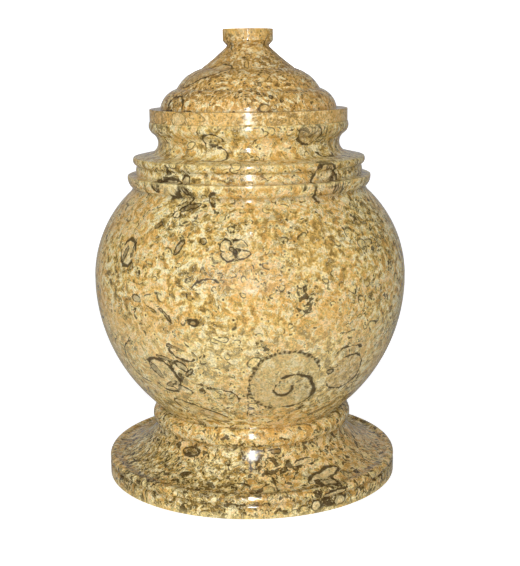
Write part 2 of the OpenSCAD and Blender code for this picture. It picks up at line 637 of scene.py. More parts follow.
@dataclass(frozen=True)
class FossilBed:
    """The fossils of one piece, in layers whose shells lie clear of each other."""

    layers: tuple[tuple[Fossil, ...], ...]

    NAMES = ("centre", "along", "across", "form", "arc", "tint")
    BLANK = ((0.0, 0.0, FAR), (1.0, 0.0, 0.0), (0.0, 0.0, 1.0), (1.0, 1.0, 0.1), (0.0,) * 3, (0.0,) * 3)
    MARGIN = 4.0  # millimetres round a fossil whose faces still belong to it
    STEP = 0.25  # millimetres between the places tried for a seat
    WIDEST = 0.002  # preference for the wider of two places at the same height
    SLOPE = 8  # least steps on each side over which the slope of a seat is taken
    CUT = (1.6, 3.0)  # share of the size, and millimetres, past which a fossil never shows

    def echoed(self, azimuth: float) -> "FossilBed":
        """Adds the mirror image of every fossil, on the far side of the piece."""
        return FossilBed(tuple(layer + tuple(f.mirrored(azimuth) for f in layer) for layer in self.layers))

    def seat(self, fossil: Fossil, outline: Outline, count: int) -> tuple[Vector, Vector, Vector]:
        """Finds a fossil's centre and its two axes on the turned surface.

        Args:
            fossil: The fossil to seat.
            outline: The piece's section.
            count: How many of its points are on the polished outside.

        Returns:
            The centre in millimetres, and the directions of the long and short axes.
        """
        skin = np.array(outline.points[:count])
        run = np.append(0.0, np.cumsum(np.hypot(*np.diff(skin, axis=0).T)))
        fine = np.arange(0.0, run[-1], self.STEP)
        radii, heights = np.interp(fine, run, skin[:, 0]), np.interp(fine, run, skin[:, 1])
        spot = int(np.argmin(np.abs(heights - fossil.height) - self.WIDEST * radii))
        radius, height = float(radii[spot]), float(heights[spot])
        reach = max(self.SLOPE, int(2 * fossil.short))
        first, last = max(0, spot - reach), min(len(fine) - 1, spot + reach)
        rise = Vector((radii[last] - radii[first], heights[last] - heights[first])).normalized()
        if rise[1] < 0:
            rise = -rise
        turn = math.radians(fossil.azimuth)
        out = Vector((math.sin(turn), -math.cos(turn), 0.0))
        east = Vector((math.cos(turn), math.sin(turn), 0.0))
        up = out * rise[0] + Vector((0.0, 0.0, rise[1]))
        tilt = math.radians(fossil.tilt)
        along = east * math.cos(tilt) + up * math.sin(tilt)
        across = up * math.cos(tilt) - east * math.sin(tilt)
        return out * radius + Vector((0.0, 0.0, height)), along, across

    def carve(self, piece: bpy.types.Object, outline: Outline, count: int) -> None:
        """Writes, on each face of the piece, the fossil that may show there.

        Args:
            piece: The turned piece.
            outline: Its section.
            count: How many of its points are on the polished outside.
        """
        mesh = piece.data
        faces = len(mesh.polygons)
        centres = np.empty(faces * 3)
        mesh.polygons.foreach_get("center", centres)
        centres = centres.reshape(-1, 3) / MM
        for number, layer in enumerate(self.layers):
            best = np.full(faces, np.inf)
            values = {name: np.tile(blank, (faces, 1)) for name, blank in zip(self.NAMES, self.BLANK)}
            for fossil in layer:
                centre, along, across = self.seat(fossil, outline, count)
                away = centres - np.array(centre)
                reach = np.hypot(away @ np.array(along) / fossil.long, away @ np.array(across) / fossil.short)
                reach = (reach - 1.0) * min(fossil.long, fossil.short)
                size = max(fossil.long, fossil.short)
                deep = np.linalg.norm(away, axis=1) > self.CUT[0] * size + self.CUT[1]
                reach[deep | (reach > self.MARGIN)] = np.inf
                reach = np.abs(reach)
                mine = reach < best
                best[mine] = reach[mine]
                mids = math.radians(fossil.middle), math.radians(fossil.span / 2)
                form = (fossil.long, fossil.short, fossil.line)
                arc = (*mids, fossil.fill + 2.0 * fossil.beads)
                for name, value in zip(self.NAMES, (centre, along, across, form, arc, fossil.tint.value)):
                    values[name][mine] = value
            for name in self.NAMES:
                attribute = mesh.attributes.new(f"shell{number}_{name}", "FLOAT_VECTOR", "FACE")
                attribute.data.foreach_set("vector", values[name].astype(np.float32).ravel())


# ---------------------------------------------------------------------------- finishes


@dataclass(frozen=True)
class Shell:
    """Masks of one shell in the material."""

    line: Term
    fill: Term


@dataclass(frozen=True)
class Ground:
    """Places, in millimetres, and noises that the features of the stone share."""

    graph: Graph
    real: Arrow
    place: Arrow
    bent: Arrow
    lacy: Arrow
    height: Term
    region: Term
    body: Term
    second: Term
    broken: Term
    heart: Term
    bold: Term
    dense: Term
    clustered: Term


@dataclass
class Coat:
    """What has been painted on the stone so far."""

    colour: Paint
    ink: Term

    def lay(self, colour: object, share: object) -> None:
        """Lays a colour over what is there."""
        self.colour = self.colour.mix(colour, share)


@dataclass(frozen=True)
class Limestone:
    """Shelly fossil limestone, cut through its shells by the turning tool.

    Sizes and heights are millimetres, colours are in linear light. Drift and lace
    hold the size and reach of the two patterns that bend the stone, and an edge
    holds where a fade starts and where it is full. A ring size holds the spacing,
    line width and shift of one scatter of shells, and each row of crowded holds
    the azimuth, distance from the axis, height and size of a crowded zone.
    """

    name: str
    polish: float
    shift: Triple = (0.0, 0.0, 0.0)
    layers: int = 2
    olive: Triple = (0.39, 0.258, 0.074)
    tan: Triple = (0.65, 0.42, 0.108)
    gold: Triple = (0.85, 0.59, 0.180)
    cream: Triple = (1.0, 0.82, 0.36)
    orange: Triple = (0.86, 0.475, 0.125)
    ink: Triple = (0.070, 0.042, 0.013)
    bone: Triple = (1.0, 0.89, 0.54)
    chalk: Triple = (1.0, 0.91, 0.57)
    # colour of the painted light on the lower bowl
    floor_bounce_tint: Triple = (1.0, 0.84, 0.46)
    # strength of the painted shade in the creases
    crease: float = 0.27
    drift: Pair = (13.0, 9.0)
    lace: Pair = (2.6, 2.4)
    region: float = 46.0
    patch: float = 4.4
    second_share: float = 0.8
    third_patch: float = 4.4
    crowd_size: float = 22.0
    break_size: float = 6.0
    grain: float = 1.1
    glow_at: Triple = (18.0, -96.0, 150.0)
    glow_edge: Pair = (75.0, 15.0)
    crowd_edge: Pair = (0.46, 0.62)
    bold: float = 0.0
    bold_edge: Pair = (62.0, 27.0)
    # painted light: the lower bowl is made paler between these heights, as light thrown up from the floor
    floor_bounce_edges: tuple[Pair, Pair] = ((54.0, 68.0), (128.0, 100.0))
    neck_edge: Pair = (165.0, 190.0)
    # painted light: the lower ridge and collar are made lighter between these heights
    ridge_light_edges: tuple[Pair, Pair] = ((175.0, 190.0), (222.0, 205.0))
    # painted shade: the stone turns towards tan above these heights, darkening the top of the piece
    top_shade_edge: Pair = (200.0, 208.0)
    top_shade: float = 0.16
    ior: float = 1.5
    outlines: float = 0.75
    rings: float = 0.25
    ring_sizes: tuple[Triple, ...] = ((9.5, 0.8, 0.0), (5.0, 0.6, 21.0))
    dashes: float = 0.25
    dash_gap: float = 3.4
    dash_ways: tuple[tuple[Triple, float], ...] = (((0.25, 1.0, 0.35), 3.0), ((1.0, 0.4, 0.5), 70.0))
    dots: float = 0.3
    dot_gap: float = 5.2
    crowded: tuple[tuple[float, float, float, float], ...] = ((-60.0, 62.0, 238.0, 9.0),)

    def noise(self, graph: Graph, place: Arrow, size: float, detail: float = 2.0, rough: float = 0.5) -> Term:
        """Makes smooth noise.

        Args:
            graph: The node tree.
            place: Where the texture is read.
            size: Size of its blobs.
            detail: How many finer octaves are added.
            rough: Strength of each octave beside the one before.

        Returns:
            The noise, around 0.5.
        """
        inputs = {"Vector": place, "Scale": 1 / size, "Detail": detail, "Roughness": rough}
        return Term(graph, graph.add("ShaderNodeTexNoise", inputs).outputs[0])

    def between(self, height: Term, edges: tuple[Pair, Pair]) -> Term:
        """1 between a lower and an upper fade, 0 below and above."""
        return height.fade(*edges[0]) * height.fade(*edges[1])

    def wander(self, graph: Graph, place: Arrow, size: float, reach: float) -> Arrow:
        """Moves a place about.

        Args:
            graph: The node tree.
            place: The place to move.
            size: Size of the pattern's blobs.
            reach: Twice the furthest it moves.

        Returns:
            The moved place.
        """
        node = graph.add("ShaderNodeTexNoise", {"Vector": place, "Scale": 1 / size, "Detail": 1.0})
        return place + (Arrow(graph, node.outputs[1]) - (0.5, 0.5, 0.5)).scaled(reach)

    def cells(self, graph: Graph, place: Arrow, size: float) -> tuple[Arrow, Term, Term]:
        """Scatters points about size apart.

        Args:
            graph: The node tree.
            place: Where the texture is read.
            size: Distance between the points.

        Returns:
            The way from the nearest point in millimetres, and two random numbers for that point.
        """
        node = graph.add("ShaderNodeTexVoronoi", {"Vector": place, "Scale": 1 / size})
        pick, spin, _ = Arrow(graph, node.outputs["Color"]).parts()
        return place - node.outputs["Position"], pick, spin

    def shell(self, u: Term, v: Term, form: tuple, arc: tuple, line: object) -> Shell:
        """Draws part of an ellipse.

        Args:
            u: Distance from its centre along its long axis.
            v: Distance from its centre along its short axis.
            form: Its two radii.
            arc: Middle and half of the angle that is drawn, in radians.
            line: Width of the line.

        Returns:
            The line and the space inside it.
        """
        a, b = form
        x, y = u / a, v / b
        reach = (x * x + y * y).root()
        steep = ((x / a) * (x / a) + (y / b) * (y / b)).root()
        gap = reach * (reach - 1) / steep.high(0.0001)
        around = abs((y.bearing(x) - arc[0]).wrapped())
        drawn = ((arc[1] - around) * 3).fade(-0.25, 0.25)
        stroke = (abs(gap) / line).fade(0.85, 0.35)
        return Shell(stroke * drawn, gap.fade(0.2, -0.3))

    def placed(self, ground: Ground, wobble: Arrow, width: Term, number: int) -> tuple[Shell, Paint]:
        """Draws one layer of the piece's own fossils from its face attributes.

        Args:
            ground: The shared terms.
            wobble: What makes the lines uneven, in millimetres.
            width: Factor on the width of the lines.
            number: Number of the layer.

        Returns:
            The shell's masks and the colour it is filled with.
        """
        graph = ground.graph

        def read(name: str) -> Arrow:
            """Reads one attribute of the layer."""
            node = graph.add("ShaderNodeAttribute", attribute_name=f"shell{number}_{name}")
            return Arrow(graph, node.outputs["Vector"])

        away = ground.real + wobble - read("centre")
        long, short, line = read("form").parts()
        middle, half, code = read("arc").parts()
        beaded = code > 1.5
        u, v = away.dot(read("along")), away.dot(read("across"))
        shell = self.shell(u, v, (long, short), (middle, half), line * width)
        beads = (v.bearing(u) * long * 2.1).sine().fade(-0.9, 0.5)
        drawn = shell.line * (1 - beaded * (1 - beads) * 0.55)
        return Shell(drawn, shell.fill * (code - beaded * 2)), Paint(graph, read("tint").socket)

    def ground(self, graph: Graph) -> Ground:
        """Works out the terms that the features share.

        Args:
            graph: The material's node tree.

        Returns:
            The shared terms.
        """
        real = Arrow(graph, graph.add("ShaderNodeTexCoord").outputs["Object"]).scaled(1 / MM)
        place = real + self.shift
        bent = self.wander(graph, place, *self.drift)
        lacy = self.wander(graph, bent, *self.lace)
        height = real.parts()[2]
        bold = height.fade(*self.bold_edge) * self.bold
        dense = bold * 0.25
        for azimuth, radius, level, size in self.crowded:
            spot = (radius * sin_deg(azimuth), -radius * cos_deg(azimuth), level)
            dense = dense.high((bent - self.shift - spot).length().fade(1.3 * size, 0.4 * size))
        crowds = self.noise(graph, place + (80.0, 3.0, 31.0), self.crowd_size, 1.0)
        crowds = crowds + bold * 0.10 + height.fade(*self.neck_edge) * 0.05 + dense * 0.2
        second = lacy + (37.0, 11.0, 5.0)
        return Ground(
            graph=graph,
            real=real,
            place=place,
            bent=bent,
            lacy=lacy,
            height=height,
            region=self.noise(graph, place, self.region, 1.0) - 0.5,
            body=self.noise(graph, lacy, self.patch, 3.0, 0.60),
            second=self.noise(graph, second, self.second_share * self.patch, 2.0, 0.6),
            broken=self.noise(graph, place + (5.0, 50.0, 9.0), self.break_size, 2.0),
            heart=(real - self.glow_at).length().fade(*self.glow_edge),
            bold=bold,
            dense=dense,
            clustered=crowds.fade(*self.crowd_edge),
        )

    def fragments(self, ground: Ground) -> Paint:
        """Colours the fragments, from dark olive through tan and gold to pale bone, with painted light and
        shade by height.

        Args:
            ground: The shared terms.

        Returns:
            The colour of the bare fragments.
        """
        height, heart, clustered = ground.height, ground.heart, ground.clustered
        spread = ground.bold * 0.25 - heart * 0.2 + clustered * 0.45 + ground.dense * 0.6 + 1.55
        tone = (ground.body - 0.5) * spread + 0.5 + ground.region * 0.15 - ground.bold * 0.04
        # painted light: a lighter band over the lower ridge and collar, lifting the shade of their crease
        tone = tone + self.between(height, self.ridge_light_edges) * 0.03
        stops = [
            (0.27, tuple(0.45 * c for c in self.olive)),
            (0.36, self.olive),
            (0.42, self.tan),
            (0.49, self.gold),
            (0.565, self.cream),
            (0.61, self.bone),
        ]
        ramp = ground.graph.add("ShaderNodeValToRGB", {0: tone}, stops)
        colour = Paint(ground.graph, ramp.outputs[0])
        warm = (ground.second + ground.region * 0.8 + heart * 0.05).fade(0.49, 0.57)
        colour = colour.mix(self.orange, warm * 0.55).mix(self.orange, heart * 0.25)
        murk = (ground.second + ground.region * 0.2).fade(0.44, 0.375)
        colour = colour.mix(self.olive, murk * (clustered * 0.3 + 0.2))
        # painted light on the lower bowl, as light thrown up from the floor
        floor_bounce = self.between(height, self.floor_bounce_edges) * self.bold
        colour = colour.mix(self.floor_bounce_tint, floor_bounce * 0.24)
        # painted shade: darker towards tan above a height
        return colour.mix(self.tan, height.fade(*self.top_shade_edge) * self.top_shade)

    def rims(self, ground: Ground) -> Coat:
        """Lays the broken outlines of the fragments, with pale lines beside them.

        Args:
            ground: The shared terms.

        Returns:
            The coat so far.
        """
        body, second, clustered = ground.body, ground.second, ground.clustered
        edges = (abs(second - 0.445) / 0.015).fade(1.0, 0.45)
        edges = edges.high((abs(body - 0.535) / 0.012).fade(1.0, 0.45))
        shown = ground.broken + ground.bold * 0.05 + clustered * 0.05 + ground.dense * 0.08
        edges = edges * shown.fade(0.48, 0.54) * (clustered * 0.7 + 0.3)
        beside = (abs(second - 0.470) / 0.013).fade(1.0, 0.4)
        beside = beside.high((abs(body - 0.554) / 0.011).fade(1.0, 0.4))
        beside = beside * (ground.broken + clustered * 0.05).fade(0.45, 0.52)
        return Coat(self.fragments(ground).mix(self.chalk, beside * 0.8), edges * self.outlines)

    def shells(self, ground: Ground, coat: Coat) -> None:
        """Scatters whole and part shells, seen in the plane of the surface.

        Args:
            ground: The shared terms.
            coat: The coat to lay them on.
        """
        graph, clustered = ground.graph, ground.clustered
        x, y, _ = ground.real.parts()
        east = Arrow(graph, graph.add("ShaderNodeCombineXYZ", {0: y * -1, 1: x}).outputs[0]).unit()
        for size, line, shift in self.ring_sizes:
            away, pick, spin = self.cells(graph, ground.bent + (shift, shift, 0.0), size)
            radius = spin * 0.16 * size + 0.12 * size
            turn = (pick * 57.0).fraction() * math.tau - math.pi
            arc = (turn, spin * 2.6 + 0.5)
            shell = self.shell(away.dot(east), away.dot((0.0, 0.0, 1.0)), (radius * 1.35, radius), arc, line)
            chosen = pick < (clustered * 0.75 + 0.25) * self.rings
            coat.ink = coat.ink.high(shell.line * chosen * (ground.broken + 0.12).fade(0.42, 0.60) * 0.9)
            coat.lay(self.cream, shell.fill * chosen * 0.55 * (spin > 0.4))
            coat.lay(self.olive, shell.fill * chosen * 0.5 * (spin < 0.25))

    def pores(self, ground: Ground, coat: Coat) -> None:
        """Scatters dashes with a pale side, and round pores, then lays all the ink.

        Args:
            ground: The shared terms.
            coat: The coat to lay them on.
        """
        for way, shift in self.dash_ways:
            place = ground.bent * way + (shift, 0.0, shift)
            away, pick, spin = self.cells(ground.graph, place, self.dash_gap)
            chosen = pick < (ground.clustered * 0.8 + 0.2) * self.dashes
            coat.lay(self.cream, (away + (0.0, 0.0, 0.55)).length().fade(1.0, 0.6) * chosen * 0.8)
            coat.ink = coat.ink.high((away.length() + spin * 0.4).fade(0.85, 0.5) * chosen)
        away, pick, spin = self.cells(ground.graph, ground.place, self.dot_gap)
        near = away.length()
        chosen = pick < self.dots
        coat.lay(self.cream, (abs(near - 1.3) - spin * 0.3).fade(0.55, 0.1) * chosen * 0.6)
        coat.ink = coat.ink.high(near.fade(0.95, 0.5) * chosen)
        coat.lay(self.ink, coat.ink * 0.9)

    def filling(self, ground: Ground, coat: Coat) -> None:
        """Lays the dark organic filling between the fragments of the crowded zones, with a pale halo.

        Args:
            ground: The shared terms.
            coat: The coat to lay them on.
        """
        third = self.noise(ground.graph, ground.lacy + (9.0, 71.0, 33.0), self.third_patch, 2.0, 0.6)
        crowd = third + ground.clustered * 0.045 + ground.bold * 0.03 + ground.dense * 0.105
        crowd = crowd - ground.heart * 0.02 - 0.012
        gaps = crowd.fade(0.655, 0.695)
        coat.lay(self.ink, gaps * 0.85)
        coat.lay(self.cream, crowd.fade(0.612, 0.645) * (1 - gaps) * 0.45)

    def fossils(self, ground: Ground, coat: Coat) -> None:
        """Lays the piece's own fossils, one layer over the other.

        Args:
            ground: The shared terms.
            coat: The coat to lay them on.
        """
        wobble = (ground.bent - ground.place).scaled(0.38) + (ground.lacy - ground.bent).scaled(0.8)
        width = (ground.broken - 0.35) * 3.6 + 0.35
        for number in range(self.layers):
            shell, tint = self.placed(ground, wobble, width, number)
            coat.lay(tint.mix(coat.colour, 0.42), shell.fill)
            coat.lay(self.ink, shell.line * (ground.broken + 0.25).fade(0.40, 0.60) * 0.92)
            coat.ink = coat.ink.high(shell.line)

    def painted_shade_and_highlight(self, ground: Ground, coat: Coat) -> None:
        """Paints shade into the creases and a highlight along the arrises.

        Args:
            ground: The shared terms.
            coat: The coat to lay them on.
        """
        graph = ground.graph
        fold = Term(graph, graph.add("ShaderNodeAttribute", attribute_name="fold").outputs["Fac"])
        # painted shade: ink laid in the creases, darkest where the fold is deepest
        coat.lay(self.ink, (fold + (ground.broken - 0.5) * 0.5).fade(0.15, 1.0) * self.crease)
        # painted highlight: cream laid along the arrises
        coat.lay(self.cream, (fold * -1).fade(0.1, 1.0) * 0.35)

    def material(self) -> Material:
        """Builds the node material.

        Returns:
            The material.
        """
        stone = bpy.data.materials.new(self.name)
        stone.use_nodes = True
        graph = Graph(stone.node_tree)
        ground = self.ground(graph)
        coat = self.rims(ground)
        self.shells(ground, coat)
        self.pores(ground, coat)
        self.filling(ground, coat)
        self.fossils(ground, coat)
        self.painted_shade_and_highlight(ground, coat)
        grain = self.noise(graph, ground.place, self.grain, 2.0, 0.7)
        shades = [(0.30, (0.60, 0.58, 0.54)), (0.50, (1.0, 1.0, 1.0)), (0.70, (1.22, 1.22, 1.2))]
        fine = graph.add("ShaderNodeValToRGB", {0: grain}, shades)
        bump = {"Height": grain - coat.ink * 0.5, "Strength": 0.06, "Distance": 0.0002}
        skin = {
            "Base Color": coat.colour.mix(Paint(graph, fine.outputs[0]), 1.0, "MULTIPLY"),
            "Roughness": self.polish + coat.ink * 0.12 + (grain - 0.5) * 0.06,
            "IOR": self.ior,
            "Normal": graph.add("ShaderNodeBump", bump).outputs[0],
        }
        shader = graph.add("ShaderNodeBsdfPrincipled", skin)
        graph.add("ShaderNodeOutputMaterial", {0: shader.outputs[0]})
        return stone


# each row: azimuth, height, long and short radius, tilt, line width, tint, fill,
# middle and span of the arc, and 1 where the line is beaded
BODY_FRONT = FossilBed(
    (
        (
            Fossil(13, 82.5, 22, 22.6, 0, 2.1, Tint.STONE, 0.6, 138, 245, 1),
            Fossil(39, 84, 14, 13, 0, 1.0, Tint.ORANGE, 0.4, -20, 260),
            Fossil(-36, 84, 13, 11, -60, 1.9, Tint.CREAM, 0.45, 60, 280),
            Fossil(-26, 93, 5, 2.2, -35, 1.2, Tint.CREAM, 0.8),
            Fossil(-25, 58, 19, 6, -28, 1.1, Tint.SAND, 0.5, 90, 300),
            Fossil(-49, 158, 8, 6.5, 78, 1.8, Tint.CREAM, 0.6, 90, 320),
            Fossil(-9, 166, 4.4, 2.9, 50, 0.9, Tint.CREAM, 0.85, 90, 280),
            Fossil(-3.5, 167, 4.2, 3, -35, 0.9, Tint.CREAM, 0.85, 60, 290),
            Fossil(-8, 160.5, 3.8, 2.6, -15, 0.9, Tint.CREAM, 0.85, -90, 280),
            Fossil(-2.5, 161.5, 4, 2.6, 20, 0.9, Tint.CREAM, 0.8, -60, 280),
            Fossil(36, 226, 9, 7, 0, 1.2, Tint.SAND, 0.5, -30, 330),
            Fossil(-21, 224, 6, 5, 0, 1.3, Tint.CREAM, 0.5, 100, 240),
            Fossil(-20, 214, 8, 6, 0, 1.3, Tint.CREAM, 0.35, -20, 260),
            Fossil(38, 198, 11, 12, 0, 1.7, Tint.ORANGE, 0.3, 110, 240),
            Fossil(-38, 198, 8, 5.5, 0, 1.8, Tint.CREAM, 0.7, 40, 260),
            Fossil(-31, 200, 3.6, 2.4, 60, 1.4, Tint.CREAM, 0.8),
            Fossil(-46, 196, 3.6, 2.4, -30, 1.3, Tint.OLIVE, 0.5),
            Fossil(34, 16.5, 14, 3.6, 12, 1.6, Tint.CREAM, 0.85, 90, 340),
            Fossil(28, 23, 8, 2.4, 5, 1.3, Tint.CREAM, 0.8, 90, 320),
            Fossil(32, 10.2, 8, 2.2, 3, 1.4, Tint.CREAM, 0.85, 90, 330),
            Fossil(24, 5, 3.6, 3.2, 0, 1.0, Tint.CREAM, 0.9),
            Fossil(34, 5, 4.0, 3.0, 0, 1.0, Tint.CREAM, 0.9),
        ),
        (
            Fossil(16.4, 75.7, 13.8, 13.8, 0, 1.6, Tint.SAND, 0, 10, 235),
            Fossil(12.4, 79, 5.9, 6.2, 0, 1.7, Tint.SAND, 0, 247, 265),
            Fossil(-50.5, 157, 5.5, 1.3, 78, 0.6, Tint.DARK, 0.95),
            Fossil(-46.5, 160, 5, 0.9, 78, 0.5, Tint.DARK, 0.9),
            Fossil(-6, 164, 2.6, 1.1, -40, 0.8, Tint.DARK, 0.9),
            Fossil(-27, 104.5, 6, 1.1, -15, 0.6, Tint.DARK, 0.9),
            Fossil(-21, 101, 4, 1.7, -50, 0.8, Tint.DARK, 0.8),
            Fossil(-46, 90, 16, 15, 0, 0.9, Tint.SAND, 0, 190, 170),
            Fossil(-39, 87, 7, 2.5, -55, 0.8, Tint.DARK, 0.85),
            Fossil(-33, 79, 5, 1.8, 30, 0.8, Tint.DARK, 0.85),
            Fossil(-23, 89, 4, 1.3, 50, 0.7, Tint.DARK, 0.85),
            Fossil(-33, 97, 6, 1.2, -8, 0.6, Tint.DARK, 0.9),
            Fossil(-29, 195, 3, 1.3, -60, 0.7, Tint.DARK, 0.85),
            Fossil(-14, 190, 5, 4, 0, 1.6, Tint.SAND, 0, 180, 170),
            Fossil(42, 197, 5, 1.2, 80, 0.6, Tint.DARK, 0.85),
            Fossil(-29, 76, 7, 3, -25, 0.9, Tint.CREAM, 0.5, 90, 300),
            Fossil(-13, 72, 12, 8, -15, 0.9, Tint.SAND, 0, 60, 150),
            Fossil(-25, 101, 8, 3.6, -22, 1.3, Tint.CREAM, 0.5, -90, 200),
            Fossil(-31, 182, 2.7, 2.4, 0, 2.0, Tint.CREAM, 0.7),
            Fossil(-26, 186, 6.5, 1.9, 25, 0.8, Tint.DARK, 0.95),
            Fossil(-38, 175, 3, 1.2, 40, 0.7, Tint.DARK, 0.9),
            Fossil(-26, 165, 5, 1.6, 65, 0.9, Tint.DARK, 0.7),
            Fossil(-17, 168, 2, 1.8, 0, 0.8, Tint.DARK, 0.8),
            Fossil(-30, 125, 5, 1.0, -45, 0.7, Tint.DARK, 0.9),
            Fossil(-42, 132, 3.5, 2.4, 0, 1.0, Tint.OLIVE, 0.8),
            Fossil(-19, 122, 2.5, 2.0, 0, 1.2, Tint.OLIVE, 0.7),
            Fossil(-14, 140, 10, 8, 0, 0.8, Tint.SAND, 0, 110, 130),
            Fossil(-38, 122, 9, 7, 0, 0.8, Tint.SAND, 0, 100, 150),
            Fossil(-20, 138, 3.4, 2.2, 60, 0.9, Tint.SAND, 0, 180, 160),
            Fossil(51, 215, 7, 5, 0, 1.5, Tint.SAND, 0, -100, 180),
            Fossil(-36, 28, 6, 3, 0, 1.6, Tint.DARK, 0.6),
            Fossil(6, 24, 9, 9, 0, 1.2, Tint.SAND, 0, 140, 110),
            Fossil(13, 31, 4, 1.4, 0, 0.8, Tint.DARK, 0.9),
            Fossil(-6, 15, 8, 4, 0, 1.2, Tint.SAND, 0, 80, 170),
            Fossil(29, 5, 3.6, 1.6, 0, 0.8, Tint.DARK, 0.9),
            Fossil(20, 60, 6, 1.1, 40, 0.7, Tint.DARK, 0.9),
            Fossil(36, 56, 8, 1.4, 30, 0.7, Tint.DARK, 0.8),
            Fossil(54, 60, 5, 3, 0, 1.2, Tint.DARK, 0.6),
            Fossil(31, 87, 2.2, 1.8, 0, 0.9, Tint.DARK, 0.7),
            Fossil(38, 99, 9, 3, 0, 1.3, Tint.SAND, 0, 90, 200),
        ),
    )
)
BODY_CROWDS = (
    (-29.5, 76.0, 191.0, 9.0),
    (-41.0, 78.0, 200.0, 9.0),
    (-22.0, 59.0, 222.0, 8.0),
    (-6.0, 93.0, 165.0, 8.0),
    (-29.5, 93.0, 91.0, 11.0),
    (-16.5, 88.0, 78.0, 8.0),
    (18.0, 101.0, 133.0, 9.0),
    (41.5, 78.0, 199.0, 11.0),
    (55.0, 81.0, 184.0, 8.0),
    (59.0, 100.0, 146.0, 6.0),
    (35.0, 64.0, 228.0, 6.0),
    (9.5, 70.0, 23.0, 16.0),
    (32.0, 94.0, 14.0, 13.0),
    (-33.0, 83.0, 16.0, 9.0),
    (4.0, 98.0, 106.0, 6.0),
    (96.0, 98.0, 115.0, 13.0),
    (130.0, 90.0, 172.0, 11.0),
    (160.0, 100.0, 130.0, 9.0),
    (185.0, 92.0, 88.0, 12.0),
    (215.0, 80.0, 25.0, 15.0),
    (250.0, 95.0, 160.0, 10.0),
    (270.0, 90.0, 82.0, 12.0),
)
LID_FRONT = FossilBed(
    (
        (
            Fossil(-48, 263, 17, 6, 38, 1.0, Tint.SAND, 0.6),
            Fossil(-60, 236, 9, 4.5, 0, 0.9, Tint.ORANGE, 0.7),
            Fossil(-42, 236, 6, 4.2, 0, 0.6, Tint.CREAM, 0.75),
        ),
        (
            Fossil(-54, 243, 8, 7, 0, 1.6, Tint.SAND, 0, 80, 190),
            Fossil(-57, 236, 0.9, 5, 0, 0.5, Tint.DARK, 0.9),
            Fossil(10, 256, 1.2, 1.2, 0, 0.6, Tint.DARK, 1.0),
            Fossil(15, 249, 1.3, 1.2, 0, 0.6, Tint.DARK, 1.0),
            Fossil(22, 247, 1.2, 1.2, 0, 0.6, Tint.DARK, 1.0),
            Fossil(7, 251, 1.0, 1.0, 0, 0.6, Tint.DARK, 0.9),
            Fossil(34, 256, 1.2, 1.2, 0, 0.6, Tint.DARK, 1.0),
        ),
    )
)


# ---------------------------------------------------------------------------- pieces


@dataclass
class Turnery:
    """Sizes shared by the body and the lid, in millimetres."""

    arris: float = 0.5
    rim_r: float = 63.6
    mouth_r: float = 44.0
    seam_z: float = 232.4


